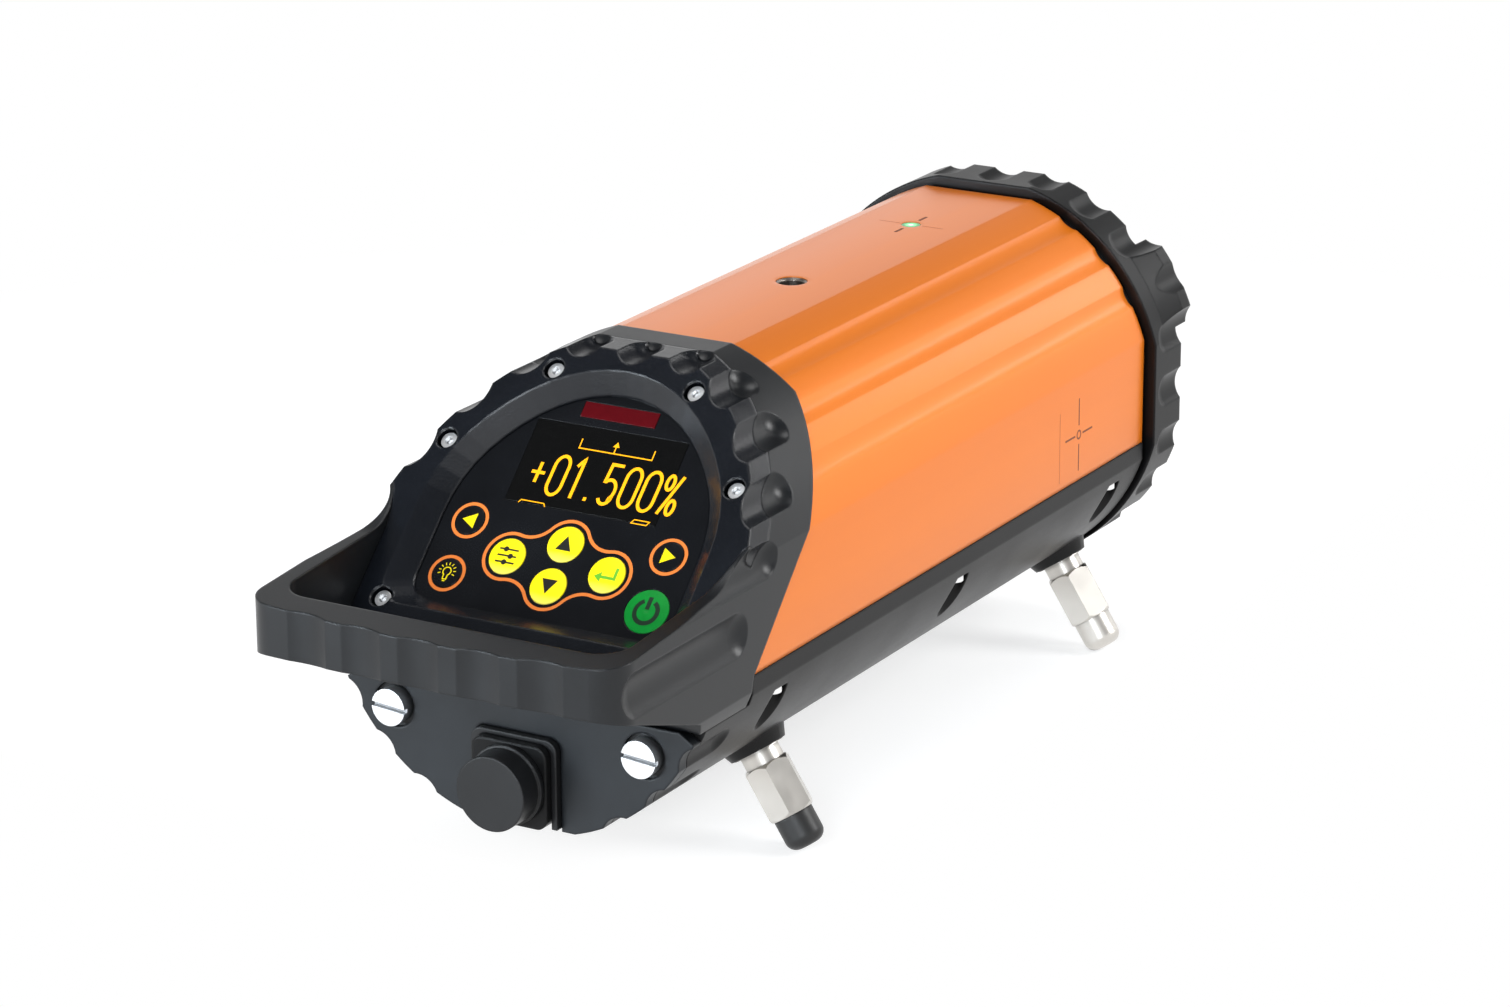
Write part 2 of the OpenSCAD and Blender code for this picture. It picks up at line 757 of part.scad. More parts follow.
panel_back = -2.2;
flange_t = 0.9;
dome_top = panel_back - 0.1 - flange_t - key_travel - 0.1;
board_top = dome_top - 0.7;

// every key: across, up the slope, radius
set_key = [-set_x, set_t, key_r];
enter_key = [set_x, set_t, key_r];
up_key = [0, up_t, key_r];
down_key = [0, down_t, key_r];
left_key = [-arrow_x, 0, dark_key_r];
right_key = [arrow_x, 0, dark_key_r];
light_key = [-light_x, light_t, dark_key_r];
power_key = [light_x, light_t, power_r];
all_keys = [set_key, enter_key, up_key, down_key, left_key, right_key, light_key, power_key];

module keypad_panel() {
    color(panel_black) difference() {
        intersection() {
            along_y(-far - handle_y, far) pad_section(pad_r + 3.8, pad_half + 2.8);
            pad_slab(panel_back, 0);
            on_pad() translate([-far, pad_low_t - 3.3, -far]) cube(2 * far);
        }
        for (k = all_keys) on_pad() translate([k[0], k[1], -far / 2]) cylinder(r = k[2] + 0.2, h = far);
        on_pad() translate([-display_w / 2 - fit, display_t - display_h / 2 - fit, -far / 2])
            cube([display_w + 2 * fit, display_h + 2 * fit, far]);
        on_pad() translate([-ir_w / 2 - fit, ir_t - ir_h / 2 - fit, -far / 2])
            cube([ir_w + 2 * fit, ir_h + 2 * fit, far]);
    }
}

module display_window() {
    color([0.05, 0.05, 0.05]) on_pad() translate([-display_w / 2, display_t - display_h / 2, panel_back])
        cube([display_w, display_h, 0.05 - panel_back]);
}

module display_module() {
    color(pcb_green) on_pad() translate([-27.5, display_t - 15.5, board_top])
        cube([55, 31, panel_back - 0.1 - board_top]);
}

module ir_window() {
    color([0.35, 0.0, 0.03]) on_pad() translate([-ir_w / 2, ir_t - ir_h / 2, panel_back])
        cube([ir_w, ir_h, 0.1 - panel_back]);
}

// A key: a crowned cap with a flange behind the panel
module key(k) {
    crown_r = 60;
    crown_top = 0.4;
    on_pad() translate([k[0], k[1], 0]) {
        intersection() {
            translate([0, 0, panel_back - 0.2]) cylinder(r = k[2], h = far / 10);
            translate([0, 0, crown_top - crown_r]) sphere(r = crown_r, $fn = 180);
        }
        translate([0, 0, panel_back - 0.1 - flange_t]) cylinder(r = k[2] + 0.7, h = flange_t);
    }
}

module key_set() { color(yellow) key(set_key); }
module key_enter() { color(yellow) key(enter_key); }
module key_up() { color(yellow) key(up_key); }
module key_down() { color(yellow) key(down_key); }
module key_left() { color(panel_black) key(left_key); }
module key_right() { color(panel_black) key(right_key); }
module key_light() { color(panel_black) key(light_key); }
module key_power() { color([0.0, 0.63, 0.24]) key(power_key); }

module key_domes() {
    color(silver) for (k = all_keys) on_pad() translate([k[0], k[1], board_top])
        cylinder(r1 = 3.2, r2 = 1.4, h = dome_top - board_top);
}

module keypad_board() {
    color(pcb_green) difference() {
        intersection() {
            along_y(-far - handle_y, far) pad_section(pad_r + 3, pad_half + 2.8);
            pad_slab(board_top - 1.5, board_top);
            on_pad() translate([-far, pad_low_t - 1, -far]) cube(2 * far);
        }
        bezel_screw_holes(2.2);
    }
}

// Battery module

door_screw_x = 42.4;
door_screw_z = -33.5;
door_shank_r = 3;
stud_sink = 1.6;
notch_half = 14.5;
notch_top = -33.8;
notch_corner = 3.5;
socket_top = -35.5;

module rounded(half_w, low, high, r) {
    union() {
        translate([-half_w + r, low]) square([2 * (half_w - r), high - low]);
        translate([-half_w, low + r]) square([2 * half_w, high - low - 2 * r]);
        for (x = [-half_w + r, half_w - r], y = [low + r, high - r])
            translate([x, y]) circle(r = r);
    }
}

module battery_door() {
    y0 = -door_back;
    top_z = cap_floor_z - 0.4;
    color(bezel_grey) difference() {
        along_y(y0, y0 + door_t) difference() {
            intersection() {
                section(base_r, body_half + 1);
                translate([-far, -far]) square([2 * far, far + top_z]);
            }
            rounded(notch_half, -far, notch_top, notch_corner);
            for (side = [0, 1]) mirror([side, 0])
                translate([54, top_z]) rotate(-34) square([far, 20]);
        }
        lower_scoops(y0 - 5, y0 + 22);
        for (side = [-1, 1]) translate([side * door_screw_x, 0, door_screw_z]) {
            along_y(y0 - 1, y0 + door_t + 1) circle(r = door_shank_r + run);
            along_y(y0 - 1, y0 + stud_sink) circle(r = door_head_r + 1.3);
        }
    }
}

module battery_pack() {
    y0 = -door_back + door_t;
    color([0.16, 0.17, 0.19]) difference() {
        along_y(y0 + fit, y0 + pack_len) intersection() {
            circle(r = base_r - base_wall - 1.5);
            translate([-pack_half, -56.5]) square([2 * pack_half, 56.5 + cap_floor_z - 4]);
        }
        along_y(y0 - 1, y0 + 8) rounded(socket_half + fit, -far, socket_top + fit, notch_corner);
    }
}

module socket_block() {
    y0 = -door_back - 5;
    color(dark) difference() {
        along_y(y0, -door_back + door_t + 7.5) intersection() {
            rounded(socket_half, -60.7, socket_top, notch_corner);
            square([2 * socket_half, far * 2], center = true);
        }
        translate([0, 0, socket_z]) along_y(y0 - 1, y0 + 12) circle(r = 8);
    }
}

socket_z = -48.2;

module socket_seal() {
    y0 = -door_back;
    color(rubber_black) along_y(y0 - 2.4, y0 + door_t) difference() {
        intersection() {
            rounded(notch_half - fit, -75, notch_top - fit, notch_corner);
            translate([-far, -60.9]) square(2 * far);
        }
        rounded(socket_half + fit / 2, -90, socket_top + fit / 2, notch_corner);
    }
}

module socket_pins() {
    y0 = -door_back - 5;
    color(brass_tone) for (a = [0:90:270])
        translate([4 * cos(a + 45), 0, socket_z + 4 * sin(a + 45)])
            along_y(y0 + 6.5, y0 + 12) circle(r = 0.8);
}

module socket_cap() {
    y0 = -door_back - 5;
    face = y0 - 10;
    color(rubber_black) translate([0, 0, socket_z]) difference() {
        union() {
            along_y(face, y0 - 1.5) circle(r = socket_cap_r);
            along_y(y0 - 2, y0 - fit) circle(r = 12.1);
            along_y(y0 - 1, y0 + 5) circle(r = 8 - run);
        }
        along_y(y0 - 2, y0 + 12) circle(r = 6);
    }
}

module door_screw(side) {
    y0 = -door_back;
    color(silver) translate([side * door_screw_x, 0, door_screw_z]) difference() {
        union() {
            along_y(y0 - 3.4, y0 + stud_sink - 0.1) circle(r = door_head_r);
            along_y(y0 + 1, y0 + 18) circle(r = door_shank_r);
        }
        rotate([0, 5, 0]) translate([-far, y0 - far - 1.8, -0.7]) cube([2 * far, far, 1.4]);
    }
}

module door_screw_left() { door_screw(-1); }
module door_screw_right() { door_screw(1); }

module battery_contacts() {
    y1 = -door_back + door_t + pack_len + 1;
    color(brass_tone) for (x = [-12, 0, 12]) translate([x, 0, -42])
        along_y(y1 - 0.8, y1) circle(r = 2.5);
}

// Laser gimbal

module pivot_frame() {
    color(silver) difference() {
        union() {
            along_y(-pivot_back - 6.5, -pivot_back + 6.5) difference() {
                circle(r = shell_r - 7);
                circle(r = 45);
            }
            translate([-22, -pivot_back - 6.5, floor_z + 0.6])
                cube([44, 13, 8]);
        }
        translate([0, -pivot_back, -far]) cylinder(r = pin_r + run, h = 2 * far);
        translate([-far, -pivot_back - 10, top_z - shell_wall - 1.2]) cube([2 * far, 20, far]);
    }
}

module line_frame() {
    arm_top = -33;
    color([0.55, 0.57, 0.6]) difference() {
        union() {
            along_y(-pivot_back - 5.5, -pivot_back + 5.5) difference() {
                circle(r = 42);
                circle(r = 31);
            }
            translate([-9, -pivot_back - line_arm - 5, arm_top - 5])
                cube([18, line_arm + 5, 5]);
            for (s = [-1, 1]) translate([0, -pivot_back, s * 46.5])
                cylinder(r = pin_r, h = 11, center = true);
            translate([0, -pivot_back - line_arm, arm_top - 0.1]) cylinder(r = 2, h = 9.1);
        }
        rotate([0, 90, 0]) translate([0, -pivot_back, -far])
            cylinder(r = pin_r + run, h = 2 * far);
        translate([0, grade_screw_y, -far]) cylinder(r = 2 + run, h = far);
    }
}

grade_screw_y = -pivot_back - grade_arm - 8;
line_screw_y = -pivot_back - line_arm - 8;
line_screw_z = -28.5;

module laser_barrel() {
    tail_y = -pivot_back - grade_arm;
    color([0.15, 0.15, 0.17]) difference() {
        union() {
            along_y(-90, -12) circle(r = barrel_r);
            along_y(tail_y + 10, -89) circle(r = 9);
            for (s = [-1, 1]) translate([s * 6.7 - 1.5, tail_y - 3, -5]) cube([3, 14, 10]);
            rotate([0, 90, 0]) translate([0, tail_y, -8.2]) cylinder(r = 2, h = 16.4);
            for (s = [-1, 1]) rotate([0, s * 90, 0]) translate([0, -pivot_back, barrel_r - 1])
                cylinder(r = pin_r, h = 42 - barrel_r);
        }
        along_y(-84, -11) circle(r = 13);
        translate([-far, -88, barrel_flat]) cube([2 * far, 28, far]);
    }
}

module collimator_lens() {
    color([0.7, 0.85, 0.9, 0.5]) along_y(-18, -14) circle(r = 13 - run);
}

module laser_diode() {
    color(brass_tone) union() {
        along_y(-84, -72) circle(r = 13 - run);
        along_y(-72, -66) circle(r = 5);
    }
}

barrel_flat = 15.6;

module tilt_sensor() {
    color(brass_tone) translate([-6, -86, barrel_flat]) cube([12, 24, 8]);
}

module grade_motor() {
    color(silver) translate([0, grade_screw_y, 0]) difference() {
        translate([0, 0, -38 - 15.5]) cylinder(r = 8, h = 15.4);
        translate([0, 0, -38 - 5]) cylinder(r = 2 + run, h = far);
    }
}

module grade_screw() {
    color(nickel) translate([0, grade_screw_y, -42]) cylinder(r = 2, h = 64);
}

module grade_nut() {
    color(brass_tone) difference() {
        translate([-4.8, grade_screw_y - 5, -6]) cube([9.6, 19, 12]);
        translate([0, grade_screw_y, -far]) cylinder(r = 2 + run, h = 2 * far);
        translate([-far, grade_screw_y + 4.5, -2.35]) cube([2 * far, far, 4.7]);
    }
}

module line_motor() {
    color(silver) rotate([0, 90, 0]) translate([-line_screw_z, line_screw_y, 24.1])
        difference() {
            cylinder(r = 8, h = 16);
            translate([0, 0, -far]) cylinder(r = 2 + run, h = far + 5);
        }
}

module line_screw() {
    color(nickel) rotate([0, 90, 0]) translate([-line_screw_z, line_screw_y, -23.5])
        cylinder(r = 2, h = 52);
}

module line_nut() {
    color(brass_tone) difference() {
        translate([-6, line_screw_y - 5, line_screw_z - 4]) cube([12, 17, 8]);
        rotate([0, 90, 0]) translate([-line_screw_z, line_screw_y, -far])
            cylinder(r = 2 + run, h = 2 * far);
        translate([-2.3, line_screw_y + 4.5, -far]) cube([4.6, far, 2 * far]);
    }
}

module drive_bracket() {
    floor_z = -body_half + base_wall - 0.3;
    color(silver) difference() {
        union() {
            translate([-19, line_screw_y - 6, floor_z + 0.3]) cube([38, 12, 3]);
            for (s = [-1, 1]) translate([s * 22 - 2, line_screw_y - 6, -50])
                cube([4, 12, 50 + line_screw_z + 8]);
            for (s = [-1, 1]) translate([s * 20.5 - 3.5, line_screw_y - 6, floor_z + 2])
                cube([7, 12, 9]);
        }
        rotate([0, 90, 0]) translate([-line_screw_z, line_screw_y, -far])
            cylinder(r = 2 + run, h = 2 * far);
    }
}

board_y0 = -212;
board_len = 46;
board_z = -18;

module main_board() {
    color(pcb_green) translate([0, board_y0, board_z]) union() {
        translate([-56, 2, 0]) cube([112, board_len - 4, 1.6]);
        translate([-20, 12, 1.5]) cube([14, 14, 2]);
        translate([8, 8, 1.5]) cube([10, 18, 3]);
        translate([-40, 28, 1.5]) cube([22, 8, 6]);
        translate([24, 20, 1.5]) cube([16, 12, 4]);
    }
}

placed() shell();
placed() base_frame();
placed() rear_cap();
placed() keypad_bezel();
placed() bezel_screws();
placed() base_screws();
placed() front_ring();
placed() front_bulkhead();
placed() front_window();
placed() window_retainer();
placed() ring_screws();
placed() top_insert();
placed() plumb_window();
placed() keypad_panel();
placed() display_window();
placed() display_module();
placed() ir_window();
placed() key_set();
placed() key_enter();
placed() key_up();
placed() key_down();
placed() key_left();
placed() key_right();
placed() key_light();
placed() key_power();
placed() key_domes();
placed() keypad_board();
placed() battery_door();
placed() battery_pack();
placed() socket_block();
placed() socket_seal();
placed() socket_pins();
placed() socket_cap();
placed() door_screw_left();
placed() door_screw_right();
placed() battery_contacts();
placed() foot_bushes();
placed() foot_leg_front_left();
placed() foot_tip_front_left();
placed() foot_leg_front_right();
placed() foot_tip_front_right();
placed() foot_leg_rear_left();
placed() foot_tip_rear_left();
placed() foot_leg_rear_right();
placed() foot_tip_rear_right();
placed() pivot_frame();
placed() line_frame();
placed() laser_barrel();
placed() collimator_lens();
placed() laser_diode();
placed() tilt_sensor();
placed() grade_motor();
placed() grade_screw();
placed() grade_nut();
placed() line_motor();
placed() line_screw();
placed() line_nut();
placed() drive_bracket();
placed() main_board();
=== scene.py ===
import json
import math

import bmesh
import bpy
from mathutils import Matrix, Vector


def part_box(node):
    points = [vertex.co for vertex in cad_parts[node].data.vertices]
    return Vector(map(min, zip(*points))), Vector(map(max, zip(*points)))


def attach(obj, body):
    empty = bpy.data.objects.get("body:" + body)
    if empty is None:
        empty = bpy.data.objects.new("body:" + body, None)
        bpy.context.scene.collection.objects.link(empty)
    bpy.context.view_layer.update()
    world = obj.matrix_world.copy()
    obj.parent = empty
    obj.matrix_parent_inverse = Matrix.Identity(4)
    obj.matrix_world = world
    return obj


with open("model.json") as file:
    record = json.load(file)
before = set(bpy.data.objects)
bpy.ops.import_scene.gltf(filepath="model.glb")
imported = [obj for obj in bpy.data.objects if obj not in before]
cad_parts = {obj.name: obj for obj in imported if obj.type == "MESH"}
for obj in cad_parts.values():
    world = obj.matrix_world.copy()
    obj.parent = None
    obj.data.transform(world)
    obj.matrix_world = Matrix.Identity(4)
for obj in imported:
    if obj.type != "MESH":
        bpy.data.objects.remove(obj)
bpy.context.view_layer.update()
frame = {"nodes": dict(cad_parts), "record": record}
nodes = frame["nodes"]
scene = bpy.context.scene

MM = 0.001
FLAT = 61.0         # mm from the tube's axis to the shell's top and side flats
CROSS_Y = -46.6     # mm: the tilt axis, which the sighting crosses and the plumb beam mark
# The part's own working axes, in millimetres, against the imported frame: they start at
# the shell's front edge, on the axis of its tube, FLAT below the top flat
SHELL_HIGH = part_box("shell")[1]
MID_Y = -SHELL_HIGH[1] / MM
AXIS_Z = SHELL_HIGH[2] / MM - FLAT


def world_point(x, y, z):
    """A point of the part's working axes (mm, Z from the tube's axis) in metres."""
    return Vector((x * MM, (y - MID_Y) * MM, (z + AXIS_Z) * MM))


# ---------------------------------------------------------------- camera

AZ, EL, ROLL = math.radians(30.206), math.radians(18.232), math.radians(-0.2514)
FOCAL_PX, WIDTH_PX, HEIGHT_PX = 4838.37, 1510.0, 1007.0
SENSOR_MM = 36.0
# the centre of the top flat's front edge: the pixel it is seen at, and its depth in metres
EDGE_PX, EDGE_PY, EDGE_DEPTH = 978.573, 192.430, 1.585198


def make_camera():
    """The photo's own viewpoint, from its turn, tilt, roll and focal length in pixels."""
    level = Vector((math.cos(AZ), math.sin(AZ), 0))
    fwd = Vector((-math.sin(AZ) * math.cos(EL), math.cos(AZ) * math.cos(EL), -math.sin(EL)))
    upright = level.cross(fwd)
    right = math.cos(ROLL) * level + math.sin(ROLL) * upright
    up = -math.sin(ROLL) * level + math.cos(ROLL) * upright
    place = world_point(0, 0, FLAT) - EDGE_DEPTH * fwd \
        - (EDGE_PX - WIDTH_PX / 2) / FOCAL_PX * EDGE_DEPTH * right \
        + (EDGE_PY - HEIGHT_PX / 2) / FOCAL_PX * EDGE_DEPTH * up
    cam = bpy.data.cameras.new("camera")
    cam.sensor_fit = "HORIZONTAL"
    cam.sensor_width = SENSOR_MM
    cam.lens = FOCAL_PX / WIDTH_PX * SENSOR_MM
    cam.clip_start, cam.clip_end = 0.01, 50.0
    obj = bpy.data.objects.new("camera", cam)
    turn = Matrix((right, up, -fwd)).transposed()
    obj.matrix_world = Matrix.Translation(place) @ turn.to_4x4()
    scene.collection.objects.link(obj)
    scene.camera = obj


make_camera()

# ---------------------------------------------------------------- node tools

NOISE_LOW, NOISE_HIGH = 0.3, 0.7    # nearly all of a noise lies between these
# what an ambient occlusion node gives in a tight corner, and on an open face
SHUT_IN, OPEN = 0.25, 0.95


class Tree:
    """A small builder for a tree of shader nodes."""

    def __init__(self, tree, output):
        self.t = tree
        self.t.nodes.clear()
        self.out = self.node(output)
        self.coord = self.node("ShaderNodeTexCoord")

    def node(self, kind, **props):
        n = self.t.nodes.new(kind)
        for k, v in props.items():
            setattr(n, k, v)
        return n

    def link(self, a, b):
        self.t.links.new(a, b)

    def feed(self, sock, value):
        """Sets a number or an RGB colour on a socket, or links an output to it."""
        if isinstance(value, (int, float)):
            sock.default_value = value
        elif isinstance(value, tuple):
            sock.default_value = (*value, 1.0)
        else:
            self.link(value, sock)

    def shader(self, kind, **inputs):
        n = self.node(kind)
        for name, value in inputs.items():
            self.feed(n.inputs[name], value)
        return n.outputs[0]

    def either(self, fac, a, b):
        """Shader a where fac is 0, and b where it is 1."""
        pick = self.node("ShaderNodeMixShader")
        for sock, value in zip(pick.inputs, (fac, a, b)):
            self.link(value, sock)
        return pick.outputs[0]

    def split(self, coordinate):
        """The X, Y and Z of one of the texture coordinates."""
        s = self.node("ShaderNodeSeparateXYZ")
        self.link(self.coord.outputs[coordinate], s.inputs[0])
        return s.outputs

    def ray_kinds(self):
        """Is it a ray from the camera, and is it one from shiny metal or through glass?"""
        path = self.node("ShaderNodeLightPath").outputs
        shiny = self.math("MAXIMUM", path["Is Glossy Ray"], path["Is Transmission Ray"])
        return path["Is Camera Ray"], shiny

    def math(self, op, a, b):
        m = self.node("ShaderNodeMath", operation=op)
        self.feed(m.inputs[0], a)
        self.feed(m.inputs[1], b)
        return m.outputs["Value"]

    def weighed(self, *terms):
        """The sum of (value, weight) terms."""
        total = None
        for value, weight in terms:
            part = self.math("MULTIPLY", value, weight)
            total = part if total is None else self.math("ADD", total, part)
        return total

    def vector(self, op, a, b=None):
        """A vector operation on an output and, where it needs one, a fixed vector."""
        v = self.node("ShaderNodeVectorMath", operation=op)
        self.link(a, v.inputs[0])
        if b is not None:
            v.inputs[1].default_value = b
        return v.outputs["Value" if op in ("DISTANCE", "LENGTH") else "Vector"]

    def span(self, fac, lo, hi, a=0.0, b=1.0):
        """Maps a value from a..b to lo..hi, and no further."""
        m = self.node("ShaderNodeMapRange")
        m.inputs["From Min"].default_value = a
        m.inputs["From Max"].default_value = b
        m.inputs["To Min"].default_value = lo
        m.inputs["To Max"].default_value = hi
        self.link(fac, m.inputs["Value"])
        return m.outputs["Result"]

    def ramp(self, fac, stops):
        """A colour that changes along (position, RGB) stops."""
        r = self.node("ShaderNodeValToRGB")
        els = r.color_ramp.elements
        while len(els) < len(stops):
            els.new(0.5)
        for e, (position, color) in zip(els, stops):
            e.position = position
            e.color = (*color, 1.0)
        self.link(fac, r.inputs["Fac"])
        return r.outputs["Color"]

    def mottled(self, fac, base, dark, light, low=NOISE_LOW, high=NOISE_HIGH):
        """A base colour that varies between two shares of itself."""
        return self.ramp(fac, [(low, tuple(c * dark for c in base)),
                               (high, tuple(min(1.0, c * light) for c in base))])


class Mat(Tree):
    """A small builder for node materials."""

    def __init__(self, name):
        self.mat = bpy.data.materials.new(name)
        self.mat.use_nodes = True
        super().__init__(self.mat.node_tree, "ShaderNodeOutputMaterial")

    def stretched(self, scale):
        """Object coordinates scaled by axis: less than 1 draws a texture out along it."""
        m = self.node("ShaderNodeMapping")
        m.inputs["Scale"].default_value = scale
        self.link(self.coord.outputs["Object"], m.inputs["Vector"])
        return m.outputs["Vector"]

    def noise(self, scale, detail, rough, vec=None):
        n = self.node("ShaderNodeTexNoise")
        n.inputs["Scale"].default_value = scale
        n.inputs["Detail"].default_value = detail
        n.inputs["Roughness"].default_value = rough
        self.link(self.coord.outputs["Object"] if vec is None else vec, n.inputs["Vector"])
        return n.outputs["Fac"]

    def times(self, color, factor):
        """A colour multiplied by a grey factor."""
        m = self.node("ShaderNodeMix", data_type="RGBA", blend_type="MULTIPLY")
        m.inputs[0].default_value = 1.0
        self.link(color, m.inputs[6])
        self.link(factor, m.inputs[7])
        return m.outputs[2]

    def rough_about(self, rough, fac):
        """A roughness that strays a little to both sides of its own value."""
        return self.span(fac, rough - 0.05, rough + 0.06, NOISE_LOW, NOISE_HIGH)

    def soft_edge(self, radius, samples=6):
        """A normal that rounds sharp edges off by a radius in metres; none for no radius."""
        if radius == 0:
            return None
        b = self.node("ShaderNodeBevel", samples=samples)
        b.inputs["Radius"].default_value = radius
        return b.outputs["Normal"]

    def crowned(self, normal, share):
        """Leans a normal towards the tube's own radial direction, as on a drawn tube."""
        off_centre = self.vector("SUBTRACT", self.coord.outputs["Object"], world_point(0, 0, 0))
        across = self.vector("MULTIPLY", off_centre, (1, 0, 1))
        both = self.node("ShaderNodeMix", data_type="VECTOR")
        both.inputs[0].default_value = share
        self.link(normal, both.inputs[4])
        self.link(self.vector("NORMALIZE", across), both.inputs[5])
        return self.vector("NORMALIZE", both.outputs[1])

    def painted_recess_shade(self, reach, shut):
        """Painted shade: one in the open, down to shut in recesses whose walls are within reach,
        in metres; the colour it scales darkens where shade falls.
        """
        ao = self.node("ShaderNodeAmbientOcclusion", samples=6)
        ao.inputs["Distance"].default_value = reach
        return self.span(ao.outputs["AO"], shut, 1.0, SHUT_IN, OPEN)

    def bump(self, height, strength, depth, normal):
        b = self.node("ShaderNodeBump")
        b.inputs["Strength"].default_value = strength
        b.inputs["Distance"].default_value = depth
        self.link(height, b.inputs["Height"])
        if normal is not None:
            self.link(normal, b.inputs["Normal"])
        return b.outputs["Normal"]

    def surface(self, color, rough, metal=0.0, normal=None, **more):
        """Finishes the material with a principled shader; more holds its other inputs."""
        p = self.node("ShaderNodeBsdfPrincipled")
        inputs = {"Base Color": color, "Roughness": rough, "Metallic": metal, **more}
        if normal is not None:
            inputs["Normal"] = normal
        for name, value in inputs.items():
            self.feed(p.inputs[name], value)
        self.link(p.outputs["BSDF"], self.out.inputs["Surface"])
        return self.mat


# ---------------------------------------------------------------- materials


def paint_orange():
    """Drawn and painted aluminium: long faint streaks along the tube, a fine flake, a coat."""
    m = Mat("orange_paint")
    streak = m.noise(60, 3, 0.6, m.stretched((1, 0.02, 1)))
    flake = m.noise(5200, 2, 0.7)
    fine = m.noise(2600, 2, 0.6)
    cloud = m.noise(9, 2, 0.5)
    tone = m.weighed((streak, 0.55), (cloud, 0.3), (flake, 0.15))
    col = m.ramp(tone, [(0.3, (0.87, 0.200, 0.002)), (0.7, (0.95, 0.234, 0.005))])
    n = m.bump(fine, strength=0.12, depth=0.00006,
               normal=m.crowned(m.soft_edge(0.003, samples=8), share=0.5))
    return m.surface(col, m.span(streak, 0.30, 0.40), metal=0.3, normal=n,
                     **{"Specular IOR Level": 0.35, "Coat Weight": 0.42, "Coat Roughness": 0.18})


def grained(name, base, rough, scale, strength, depth, edge, spec):
    """Moulded or coated dark surface: fine grain, faint mottling, and painted shade in its
    recesses.
    """
    m = Mat(name)
    grain = m.noise(scale, 3, 0.65)
    mottle = m.noise(38, 3, 0.55)
    col = m.mottled(mottle, base, 0.82, 1.22, high=0.72)
    r = m.rough_about(rough, m.weighed((grain, 0.5), (mottle, 0.5)))
    n = m.bump(grain, strength, depth, m.soft_edge(edge))
    # painted shade: the base colour darkens in recesses, scoops and seams
    return m.surface(m.times(col, m.painted_recess_shade(reach=0.009, shut=0.35)), r, normal=n,
                     **{"Specular IOR Level": spec})


def bright_metal(name, base, rough, stretch, brush, edge, tint, reach):
    """Bare metal: fine brush lines, a cloudy tint, and painted shade where a gap is within
    reach.
    """
    m = Mat(name)
    lines = m.noise(brush, 3, 0.6, m.stretched(stretch))
    cloud = m.noise(70, 2, 0.5)
    col = m.mottled(cloud, base, 1 - tint, 1 + tint)
    r = m.rough_about(rough, m.weighed((lines, 0.4), (cloud, 0.6)))
    n = m.bump(lines, strength=0.04, depth=0.00002, normal=m.soft_edge(edge))
    # painted shade: the colour darkens in sockets, slots and gaps
    return m.surface(m.times(col, m.painted_recess_shade(reach, shut=0.10)), r, metal=1.0, normal=n)


def plain(name, base, rough, edge, spec, **more):
    """Smooth plastic or lacquer with a trace of dust."""
    m = Mat(name)
    dust = m.noise(420, 3, 0.6)
    col = m.mottled(dust, base, 0.93, 1.05, 0.35, 0.65)
    n = m.bump(dust, strength=0.05, depth=0.00003, normal=m.soft_edge(edge))
    return m.surface(col, m.span(dust, rough - 0.03, rough + 0.04), normal=n,
                     **{"Specular IOR Level": spec, **more})


def window_glass():
    """Clear glass under a faint film."""
    m = Mat("window_glass")
    film = m.noise(120, 2, 0.5)
    return m.surface((0.85, 0.95, 0.95), m.span(film, 0.03, 0.06),
                     **{"Transmission Weight": 0.85, "IOR": 1.5})


PLUMB_Z = 60.9                              # mm: the window's face, just under the top flat
SPOT_REACH, SPOT_RAGGED = 0.0026, 0.0003    # metres: the spot's glow, and its uneven edge


def plumb_green():
    """Green spot of the plumb beam behind its small window: white hot in the middle."""
    m = Mat("plumb_green")
    grain = m.noise(900, 2, 0.5)
    far_off = m.vector("DISTANCE", m.coord.outputs["Object"], world_point(0, CROSS_Y, PLUMB_Z))
    ragged = m.math("ADD", far_off, m.math("MULTIPLY", grain, SPOT_RAGGED))
    glow = m.ramp(m.span(ragged, 0.0, 1.0, 0.0, SPOT_REACH),
                  [(0.15, (0.80, 1.0, 0.72)), (0.50, (0.16, 0.78, 0.25)),
                   (0.95, (0.02, 0.20, 0.06))])
    return m.surface(glow, 0.12, **{"Emission Color": glow, "Emission Strength": 0.9})


def key_yellow():
    """Yellow key: a painted highlight makes it a touch paler towards its lower edge, and a
    painted glow brightens it.
    """
    m = Mat("key_yellow")
    dust = m.noise(300, 2, 0.5)
    # painted highlight: the key turns paler towards its lower edge
    height = m.math("ADD", m.split("Generated")["Z"], m.math("MULTIPLY", dust, 0.06))
    col = m.ramp(height, [(0.10, (1.0, 0.93, 0.24)), (0.50, (1.0, 0.83, 0.004)),
                          (1.0, (1.0, 0.80, 0.0))])
    n = m.bump(dust, strength=0.05, depth=0.00003, normal=m.soft_edge(0.0004))
    # painted glow: the key's colour is also its emission
    return m.surface(col, 0.38, normal=n, **{"Emission Color": col, "Emission Strength": 0.22})


